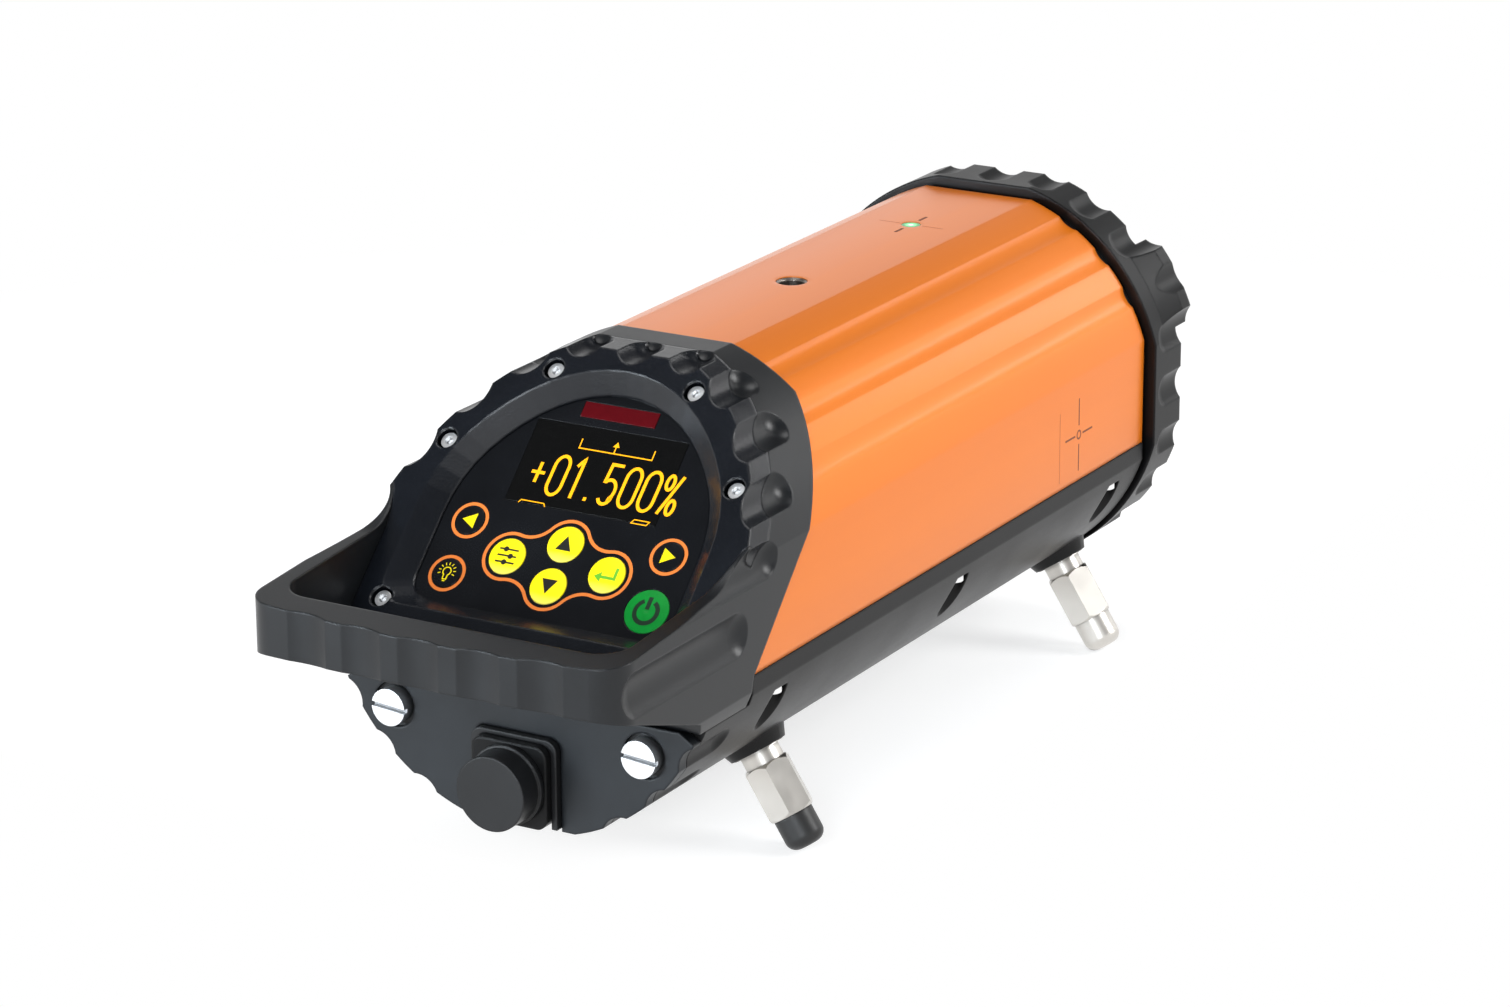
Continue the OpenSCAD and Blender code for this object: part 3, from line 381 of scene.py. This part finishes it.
# base colour, roughness; the grain's scale, strength and depth (m); soft edge (m), specular
GRAINED = {
    "chassis_grey": ((0.0085, 0.0082, 0.0084), 0.38, 2400, 0.25, 0.00008, 0.0012, 0.22),
    "cap_grey": ((0.0060, 0.0070, 0.0085), 0.33, 2600, 0.25, 0.00008, 0.0009, 0.45),
    "bezel_grey": ((0.0050, 0.0064, 0.0095), 0.22, 1500, 0.40, 0.00013, 0.0010, 0.55),
    "ring_black": ((0.0060, 0.0062, 0.0066), 0.32, 2600, 0.22, 0.00007, 0.0012, 0.22),
    "seal_rubber": ((0.0070, 0.0074, 0.0084), 0.40, 1800, 0.20, 0.00006, 0.0008, 0.40),
    "foot_rubber": ((0.010, 0.010, 0.010), 0.40, 1600, 0.15, 0.00005, 0.0008, 0.50),
    "panel_black": ((0.0060, 0.0066, 0.0082), 0.24, 3200, 0.10, 0.00003, 0.0003, 0.30),
    "battery_plastic": ((0.03, 0.033, 0.04), 0.50, 1800, 0.20, 0.00006, 0.0008, 0.50),
    "barrel_black": ((0.02, 0.02, 0.023), 0.40, 2400, 0.15, 0.00004, 0.0005, 0.50),
    "door_grey": ((0.0120, 0.0145, 0.0175), 0.40, 2600, 0.30, 0.00008, 0.0010, 0.36),
}
# base colour, roughness; the brush lines' stretch and scale; soft edge (m), tint, reach of the
# painted shade (m)
METAL = {
    "screw_steel": ((1.0, 1.0, 1.0), 0.44, (1, 1, 1), 700, 0.0002, 0.04, 0.0007),
    "nickel": ((0.66, 0.635, 0.595), 0.30, (1, 1, 0.12), 420, 0.0, 0.06, 0.0016),
    "contact_metal": ((0.75, 0.57, 0.27), 0.30, (1, 1, 1), 900, 0.0004, 0.08, 0.0016),
    "frame_alloy": ((0.62, 0.63, 0.65), 0.34, (1, 0.1, 1), 800, 0.0005, 0.08, 0.0016),
    "dull_steel": ((0.30, 0.27, 0.24), 0.34, (1, 1, 1), 700, 0.0004, 0.08, 0.0016),
    "stud_steel": ((0.88, 0.89, 0.91), 0.38, (1, 1, 1), 700, 0.0002, 0.08, 0.0016),
}
# base colour, roughness, soft edge (m), specular
PLAIN = {
    "display_black": ((0.0035, 0.0035, 0.0035), 0.16, 0.0002, 0.35),
    "ir_red": ((0.10, 0.001, 0.004), 0.20, 0.0002, 0.40),
    "board_green": ((0.02, 0.16, 0.06), 0.40, 0.0003, 0.50),
}

MATS = {
    "orange_paint": paint_orange(),
    "window_glass": window_glass(),
    "plumb_green": plumb_green(),
    "key_yellow": key_yellow(),
    # the green power key's faint emission is a painted glow
    "key_green": plain("key_green", (0.001, 0.26, 0.028), 0.36, 0.0004, 0.3,
                       **{"Emission Color": (0.0, 0.4, 0.06), "Emission Strength": 0.06}),
}
for maker, rows in ((grained, GRAINED), (bright_metal, METAL), (plain, PLAIN)):
    MATS.update({name: maker(name, *row) for name, row in rows.items()})

# a material goes by its slot's name, but a few nodes have a finish of their own
OWN_FINISH = {"top_insert": "dull_steel", "battery_door": "door_grey",
              "door_screw_left": "stud_steel", "door_screw_right": "stud_steel"}
slot_of = {s["node"]: s["material_slot"] for s in frame["record"]["subparts"]}
for name, obj in nodes.items():
    obj.data.materials.clear()
    obj.data.materials.append(MATS[OWN_FINISH.get(name, slot_of[name])])

# ---------------------------------------------------------------- light and floor

WHITE, COOL, COOLER = (1, 1, 1), (0.86, 0.93, 1.0), (0.80, 0.91, 1.0)
# name, place, what it is aimed at, size, power (W), colour
LAMPS = (
    ("key_light", (1.6, 0.7, 1.2), (0, 0, 0.08), (0.8, 0.8), 21, WHITE),
    ("top_light", (-0.5, 0.1, 2.1), (0, 0, 0.08), (1.0, 1.0), 10.5, WHITE),
    ("rear_light", (0.5, -2.2, 1.0), (0, -0.1, 0.08), (1.0, 0.7), 36, COOL),
    ("low_light", (-1.3, -2.1, 0.22), (0, -0.15, 0.07), (1.2, 0.36), 38, COOLER),
    ("strip_light", (0.7, 1.7, 1.15), (0, 0, 0.12), (0.16, 1.6), 3, WHITE),
)

for name, place, aim, size, power, color in LAMPS:
    light = bpy.data.lights.new(name, "AREA")
    light.shape = "RECTANGLE"
    light.size, light.size_y = size
    light.energy = power
    light.color = color
    lamp_obj = bpy.data.objects.new(name, light)
    lamp_obj.location = place
    lamp_obj.rotation_euler = (Vector(aim) - Vector(place)).to_track_quat("-Z", "Y").to_euler()
    lamp_obj.visible_camera = False
    scene.collection.objects.link(lamp_obj)

# grey of the tent round the object against height, from 0 at the horizon to 1 overhead
TENT = ((0.0, 0.34), (0.18, 0.40), (0.27, 0.86), (0.38, 0.86), (0.44, 0.24), (0.55, 0.10),
        (0.84, 0.08), (0.95, 0.32), (1.0, 0.36))
TENT_STRENGTH = 1.15
# shiny surfaces show the white backdrop up to the first height, and none above the second
BACKDROP_FULL, BACKDROP_GONE = 0.24, 0.30

# grey of the floor against its faint clouds, as it lights the object and as it is seen
FLOOR_LIT = ((0.2, 0.74), (0.8, 0.78))
FLOOR_SEEN = ((0.2, 0.53), (0.8, 0.55))
FLOOR_LIFT = 0.65           # light added to the seen floor to bring it up to white
# metres: how far from the middle the seen floor starts and ends its fade to pure white
FADE_START, FADE_END = 0.34, 0.62
# metres: how far its mask's soft edge reaches to both sides of the right feet's outer face,
# and behind and ahead of the rear feet's rear face
EDGE_SIDE, EDGE_BEHIND, EDGE_AHEAD = 0.012, 0.05, 0.01
FLOOR_HALF = 6.0            # metres, from the middle to each edge


def greys(stops):
    """Colour stops from (position, grey) ones."""
    return [(position, (v, v, v)) for position, v in stops]


def studio_world():
    """White for the camera; for light and reflections a tent, bright low down, dark above."""
    world = bpy.data.worlds.new("studio")
    scene.world = world
    world.use_nodes = True
    w = Tree(world.node_tree, "ShaderNodeOutputWorld")
    height = w.split("Generated")["Z"]
    tent = w.shader("ShaderNodeBackground", Color=w.ramp(height, greys(TENT)),
                    Strength=TENT_STRENGTH)
    white = w.shader("ShaderNodeBackground", Color=WHITE, Strength=1.0)
    camera_ray, shiny_ray = w.ray_kinds()
    low = w.span(height, 0.0, 1.0, BACKDROP_GONE, BACKDROP_FULL)
    seen = w.math("MAXIMUM", camera_ray, w.math("MULTIPLY", shiny_ray, low))
    w.link(w.either(seen, tent, white), w.out.inputs["Surface"])


studio_world()


def floor_material():
    """Pale floor, lifted to white where it is looked at, which keeps a faint shadow."""
    m = Mat("floor")
    spot = m.noise(3, 2, 0.5)
    lit = m.shader("ShaderNodeBsdfDiffuse", Color=m.ramp(spot, greys(FLOOR_LIT)))
    seen = m.shader("ShaderNodeBsdfDiffuse", Color=m.ramp(spot, greys(FLOOR_SEEN)))
    lifted = m.node("ShaderNodeAddShader")
    m.link(seen, lifted.inputs[0])
    m.link(m.shader("ShaderNodeEmission", Strength=FLOOR_LIFT), lifted.inputs[1])
    # the backdrop is pure white right of the feet and behind the rear ones
    low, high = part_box("foot_tip_rear_right")
    at = m.split("Object")
    left = m.span(at["X"], 0.0, 1.0, high[0] + EDGE_SIDE, high[0] - EDGE_SIDE)
    ahead = m.span(at["Y"], 0.0, 1.0, low[1] - EDGE_BEHIND, low[1] + EDGE_AHEAD)
    # and fades to pure white away from the object, so that no lamp's edge shows on it
    near = m.span(m.vector("LENGTH", m.coord.outputs["Object"]), 0.0, 1.0, FADE_END, FADE_START)
    pure = m.shader("ShaderNodeEmission", Strength=1.0)
    inside = m.math("MULTIPLY", m.math("MULTIPLY", left, ahead), near)
    shaded = m.either(inside, pure, lifted.outputs[0])
    # metal and glass show the white floor too
    looked_at = m.math("MAXIMUM", *m.ray_kinds())
    m.link(m.either(looked_at, lit, shaded), m.out.inputs["Surface"])
    return m.mat


floor_mesh = bpy.data.meshes.new("floor")
bm = bmesh.new()
bmesh.ops.create_grid(bm, x_segments=2, y_segments=2, size=FLOOR_HALF)
bm.to_mesh(floor_mesh)
bm.free()
floor = bpy.data.objects.new("floor", floor_mesh)
scene.collection.objects.link(floor)
floor_mesh.materials.append(floor_material())

scene.view_settings.view_transform = "Standard"

# ---------------------------------------------------------------- flat shapes, in mm

TINY = 1e-9         # a shorter step along a line has no direction


def resample(points, step, closed):
    """Points along a line, at most a step apart."""
    pts = [Vector(p) for p in points]
    if closed:
        pts.append(pts[0])
    out = []
    for a, b in zip(pts, pts[1:]):
        k = max(1, int(math.ceil((b - a).length / step)))
        out += [a.lerp(b, i / k) for i in range(k)]
    if not closed:
        out.append(pts[-1])
    return out


def ribbon(points, width, closed=False, step=0.5):
    """Flat stroke of even width along a line: (2-D points, faces)."""
    pts = resample(points, step, closed)
    n = len(pts)
    left, right = [], []
    for i, p in enumerate(pts):
        a = pts[(i - 1) % n] if closed or i else p
        b = pts[(i + 1) % n] if closed or i < n - 1 else p
        d = b - a
        d = d.normalized() if d.length > TINY else Vector((1, 0))
        u = (p - a).normalized() if (p - a).length > TINY else d
        mitre = max(0.5, abs(u.dot(d)))
        aside = Vector((-d.y, d.x)) * (width / 2 / mitre)
        left.append(p + aside)
        right.append(p - aside)
    faces = []
    for i in range(n if closed else n - 1):
        j = (i + 1) % n
        faces.append((i, n + i, n + j, j))
    return left + right, faces


def disc(cx, cy, r, rings, segs):
    """A dot cut into rings, so that it can follow a curved key."""
    verts = [Vector((cx, cy))]
    for k in range(1, rings + 1):
        for i in range(segs):
            a = 2 * math.pi * i / segs
            verts.append(Vector((cx + r * k / rings * math.cos(a),
                                 cy + r * k / rings * math.sin(a))))
    faces = [(0, 1 + i, 1 + (i + 1) % segs) for i in range(segs)]
    for k in range(1, rings):
        for i in range(segs):
            a, b = 1 + (k - 1) * segs, 1 + k * segs
            faces.append((a + i, b + i, b + (i + 1) % segs, a + (i + 1) % segs))
    return verts, faces


def triangle(a, b, c, k=6):
    """A triangle cut into k rows of small ones, so that it can follow a curved key."""
    a, b, c = Vector(a), Vector(b), Vector(c)
    index, verts, faces = {}, [], []
    for i in range(k + 1):
        for j in range(k + 1 - i):
            index[i, j] = len(verts)
            verts.append(a + (b - a) * (i / k) + (c - a) * (j / k))
    for i in range(k):
        for j in range(k - i):
            faces.append((index[i, j], index[i + 1, j], index[i, j + 1]))
            if i + j < k - 1:
                faces.append((index[i + 1, j], index[i + 1, j + 1], index[i, j + 1]))
    return verts, faces


def arc(cx, cy, r, a0, a1, k, sy=1.0):
    """Points along an arc between two angles in degrees, sy times as tall as it is wide."""
    return [(cx + r * math.cos(math.radians(a0 + (a1 - a0) * i / k)),
             cy + sy * r * math.sin(math.radians(a0 + (a1 - a0) * i / k))) for i in range(k + 1)]


def circle(cx, cy, r, k, sy=1.0):
    return arc(cx, cy, r, 0, 360, k, sy)[:-1]


def loop_round(centres, reach, waist):
    """A closed line at a distance round a ring of discs, its waists filleted."""
    n = len(centres)
    out = []
    fillets = []
    for k in range(n):
        a, b = Vector(centres[k]), Vector(centres[(k + 1) % n])
        along = (b - a) / 2
        outward = Vector((along.y, -along.x)).normalized()
        height = math.sqrt((reach + waist) ** 2 - along.length_squared)
        fillets.append(a + along + outward * height)
    for k in range(n):
        c = Vector(centres[k])
        before, after = fillets[k - 1], fillets[k]
        a0 = math.atan2(*(before - c).yx)
        a1 = math.atan2(*(after - c).yx)
        if a1 < a0:
            a1 += 2 * math.pi
        out += arc(c.x, c.y, reach, math.degrees(a0), math.degrees(a1), 24)
        nxt = Vector(centres[(k + 1) % n])
        b0 = math.atan2(*(c - after).yx)
        b1 = math.atan2(*(nxt - after).yx)
        while b1 > b0:
            b1 -= 2 * math.pi
        out += arc(after.x, after.y, waist, math.degrees(b0), math.degrees(b1), 16)[1:-1]
    return out


# strokes of the read-out's characters in a unit box: (points, closed)
GLYPHS = {
    "0": [(arc(0.27, 0.74, 0.26, 0, 180, 16) + arc(0.27, 0.26, 0.26, 180, 360, 16), True)],
    "1": [([(0.08, 0.80), (0.27, 1.0), (0.27, 0.0)], False)],
    "5": [([(0.50, 1.0), (0.07, 1.0), (0.04, 0.55)] + arc(0.25, 0.36, 0.26, 130, -60, 18)
           + arc(0.25, 0.25, 0.25, -20, -150, 12), False)],
    "+": [([(0.0, 0.5), (0.5, 0.5)], False), ([(0.25, 0.24), (0.25, 0.76)], False)],
    ".": [([(0.08, 0.0), (0.08, 0.09)], False)],
    "%": [(circle(0.13, 0.80, 0.13, 18, 1.4), True), (circle(0.47, 0.20, 0.13, 18, 1.4), True),
          ([(0.08, 0.0), (0.54, 1.0)], False)],
}
ADVANCE, POINT_ADVANCE = 0.56, 0.18


def letters(text, x, y, height, width, stroke, gap, slant, space):
    """Stroke shapes for plain characters, left to right; width is the scale of a unit box."""
    out = []
    for ch in text:
        if ch == " ":
            x += space
            continue
        for pts, closed in GLYPHS[ch]:
            line = [(x + p[0] * width + slant * p[1] * height, y + p[1] * height) for p in pts]
            out.append(ribbon(line, stroke, closed, step=0.4))
        x += (POINT_ADVANCE if ch == "." else ADVANCE) * width + gap
    return out


# ---------------------------------------------------------------- surfaces that take ink

C45 = math.sqrt(0.5)
PAD_Y, PAD_Z = -253.3, 15.8         # origin of the keypad's slope, on the centre line
KEY_TOP, KEY_CROWN = 0.4, 60.0      # a key's top above the panel, and the radius of its crown
# how far print stands off its surface, and each further shape of one print off the last
OFF_FACE, OFF_KEY, OFF_WINDOW, LAYER = 0.012, 0.02, 0.06, 0.004


def on_pad(x, t, n):
    """A point of the keypad's slope: across, up the slope, above the panel."""
    return world_point(x, PAD_Y + t * C45 - n * C45, PAD_Z + t * C45 + n * C45)


def on_key(cx, ct):
    """The crowned top of the key whose middle is at cx, ct on the slope."""
    def place(x, t, lift):
        d2 = (x - cx) ** 2 + (t - ct) ** 2
        return on_pad(x, t, KEY_TOP - KEY_CROWN + math.sqrt(KEY_CROWN * KEY_CROWN - d2) + lift)
    return place


def on_side(side):
    """The shell's right (1) or left (-1) flat: along the tube, up."""
    return lambda y, z, lift: world_point(side * (FLAT + lift), y, z)


def on_top(x, y, lift):
    """The shell's top flat: across, along the tube."""
    return world_point(x, y, FLAT + lift)


def ink(name, rgb, rough=0.4, glow=0.0):
    """Printed colour, matt; a glow, where given, is the display's own light on the amber
    read-out and a painted glow on the key print.
    """
    m = Mat(name)
    col = m.mottled(m.noise(5200, 2, 0.5), rgb, 0.92, 1.0)
    more = {"Emission Color": col, "Emission Strength": glow} if glow else {}
    return m.surface(col, rough, **more)


# the key outlines and key signs carry a faint painted glow; the amber read-out's glow is the
# display's own light
INK_ORANGE = ink("ink_orange", (0.90, 0.225, 0.035), 0.42, 0.05)
INK_YELLOW = ink("ink_yellow", (1.0, 0.80, 0.0), 0.4, 0.15)
INK_BLACK = ink("ink_black", (0.010, 0.010, 0.008), 0.45)
INK_AMBER = ink("ink_amber", (1.0, 0.41, 0.0), 0.4, 0.66)
INK_GREEN = ink("ink_green", (0.16, 0.56, 0.03))
INK_MARK = ink("ink_mark", (0.23, 0.055, 0.008), 0.5)
INK_FAINT = ink("ink_faint", (0.52, 0.115, 0.012), 0.5)
INK_POWER = ink("ink_power", (0.002, 0.026, 0.008), 0.45)
HOUSING = "housing"


def lay(name, shapes, place, material, body=HOUSING, lift=OFF_FACE):
    """Puts flat shapes on a surface: place(x, y, lift) gives the world point."""
    verts, faces = [], []
    for k, (v, f) in enumerate(shapes):
        base = len(verts)
        verts += [tuple(place(p.x, p.y, lift + LAYER * k)) for p in v]
        faces += [tuple(base + i for i in q) for q in f]
    mesh = bpy.data.meshes.new(name)
    mesh.from_pydata(verts, [], faces)
    mesh.update()
    mesh.materials.append(material)
    obj = bpy.data.objects.new(name, mesh)
    scene.collection.objects.link(obj)
    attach(obj, body)


# ---------------------------------------------------------------- keypad print

# display read-out: plain figures, a scale bracket with an arrow, two soft-key marks
digits = letters("+01. 500%", x=-20.8, y=12.5, height=12.9, width=9.0, stroke=1.05, gap=1.6,
                 slant=0.02, space=1.3)
lay("readout", digits, on_pad, INK_AMBER, lift=OFF_WINDOW)
LINE, THIN_LINE = 0.38, 0.32
bracket = [
    ribbon([(-8.7, 31.9), (-8.7, 28.8), (16.0, 28.8), (16.0, 31.9)], LINE),
    ribbon([(3.1, 28.8), (3.1, 31.6)], LINE),
    triangle((2.0, 30.9), (4.2, 30.9), (3.1, 32.6)),
    ribbon([(-20.8, 8.4), (-20.1, 9.4), (-12.4, 9.4), (-11.7, 8.4)], THIN_LINE),
    ribbon([(17.6, 8.3), (18.3, 9.5), (23.4, 9.5), (22.7, 8.3)], THIN_LINE, True),
]
lay("readout_bracket", bracket, on_pad, INK_AMBER, lift=OFF_WINDOW)

# key outlines: a ring round each black key, and one wavy loop round the yellow four
ARROW_X, SIDE_X, SIDE_T = 33.7, 33.85, -17.7
LEFT_AT, RIGHT_AT = (-ARROW_X, 0.0), (ARROW_X, 0.0)
LIGHT_AT, POWER_AT = (-SIDE_X, SIDE_T), (SIDE_X, SIDE_T)
SET_AT, ENTER_AT, UP_AT, DOWN_AT = (-16.9, -9.0), (16.9, -9.0), (0.0, -2.0), (0.0, -15.8)
OUTLINE_R, OUTLINE_W = 5.45, 1.05
LOOP_REACH, LOOP_WAIST = 7.5, 8.6
rings = [ribbon(circle(x, t, OUTLINE_R, 64), OUTLINE_W, True)
         for x, t in (LEFT_AT, RIGHT_AT, LIGHT_AT)]
rings.append(ribbon(loop_round([ENTER_AT, UP_AT, SET_AT, DOWN_AT], LOOP_REACH, LOOP_WAIST),
                    OUTLINE_W, True))
lay("key_outlines", rings, on_pad, INK_ORANGE)


def legend(key, at, shapes, material):
    """A sign on its own key, so that it travels with it."""
    moved = [([Vector((p.x + at[0], p.y + at[1])) for p in v], f) for v, f in shapes]
    lay("mark_" + key, moved, on_key(*at), material, "key_" + key + "_body", OFF_KEY)


def arrow(ux, uy, half, length):
    """Solid triangle that points along (ux, uy), about its own middle."""
    tip = (ux * length * 0.55, uy * length * 0.55)
    back = (-ux * length * 0.45, -uy * length * 0.45)
    return [triangle(tip, (back[0] - uy * half, back[1] + ux * half),
                     (back[0] + uy * half, back[1] - ux * half))]


legend("up", UP_AT, arrow(0, 1, 2.6, 4.7), INK_BLACK)
legend("down", DOWN_AT, arrow(0, -1, 2.6, 4.7), INK_BLACK)
legend("left", LEFT_AT, arrow(-1, 0, 2.5, 4.4), INK_YELLOW)
legend("right", RIGHT_AT, arrow(1, 0, 2.5, 4.4), INK_YELLOW)

# set key: three setting bars, each with its slider
bars = []
for row, knob in ((2.1, -1.0), (0.0, 1.2), (-2.1, -0.2)):
    bars += [ribbon([(-3.2, row), (3.2, row)], 0.55),
             disc(knob, row, 0.85, rings=2, segs=20)]
legend("set", SET_AT, bars, INK_BLACK)

# enter key: a return arrow
turn_back = [ribbon([(2.9, 2.5), (2.9, -1.0), (-1.8, -1.0)], 0.9),
             triangle((-3.8, -1.0), (-1.5, -2.6), (-1.5, 0.6))]
legend("enter", ENTER_AT, turn_back, INK_GREEN)

# light key: a lamp with rays round its bulb
BULB_Y, RAY_START, RAY_END = 0.45, 2.05, 2.95
lamp = [ribbon(arc(0, BULB_Y, 1.3, -58, 238, 24)
               + [(-0.62, -1.35), (-0.62, -2.1), (0.62, -2.1), (0.62, -1.35)], 0.36, True),
        ribbon([(-0.45, -2.65), (0.45, -2.65)], 0.36)]
for k in range(9):
    a = math.radians(-20 + 27.5 * k)
    lamp.append(ribbon([(r * math.cos(a), BULB_Y + r * math.sin(a))
                        for r in (RAY_START, RAY_END)], 0.3))
legend("light", LIGHT_AT, lamp, INK_YELLOW)

# power key: a broken ring with a stroke
power = [ribbon(arc(0, -0.3, 3.6, 118, 422, 48), 1.4), ribbon([(0, 0.4), (0, 4.5)], 1.4)]
legend("power", POWER_AT, power, INK_POWER)

# ---------------------------------------------------------------- sighting crosses


LEVEL, UPRIGHT = (1, 0), (0, 1)
SIDE_CENTRE, TOP_CENTRE = (CROSS_Y, 0.0), (0.0, CROSS_Y)


def ticks(centre, along, start, end, width):
    """Two strokes, from start to end to both sides of a centre."""
    return [ribbon([(centre[0] + s * along[0] * r, centre[1] + s * along[1] * r)
                    for r in (start, end)], width) for s in (-1, 1)]


# on both sides at the tilt axis, each with a fine line beside it, and on the top
for side, label in ((1, "right"), (-1, "left")):
    marks = ticks(SIDE_CENTRE, UPRIGHT, start=3.1, end=12.0, width=0.65)
    marks += ticks(SIDE_CENTRE, LEVEL, start=2.6, end=9.5, width=0.65)
    marks += [ribbon(circle(*SIDE_CENTRE, 1.3, 24), 0.6, True)]
    lay("cross_" + label, marks, on_side(side), INK_MARK)
    lay("cross_line_" + label, [ribbon([(-60.0, 10.3), (-60.0, -12.8)], 0.3)], on_side(side),
        INK_FAINT)
lay("cross_top", ticks(TOP_CENTRE, UPRIGHT, start=5.4, end=10.6, width=1.1), on_top,
    INK_MARK)
lay("cross_top_line", ticks(TOP_CENTRE, LEVEL, start=4.0, end=11.5, width=0.4), on_top,
    INK_FAINT)
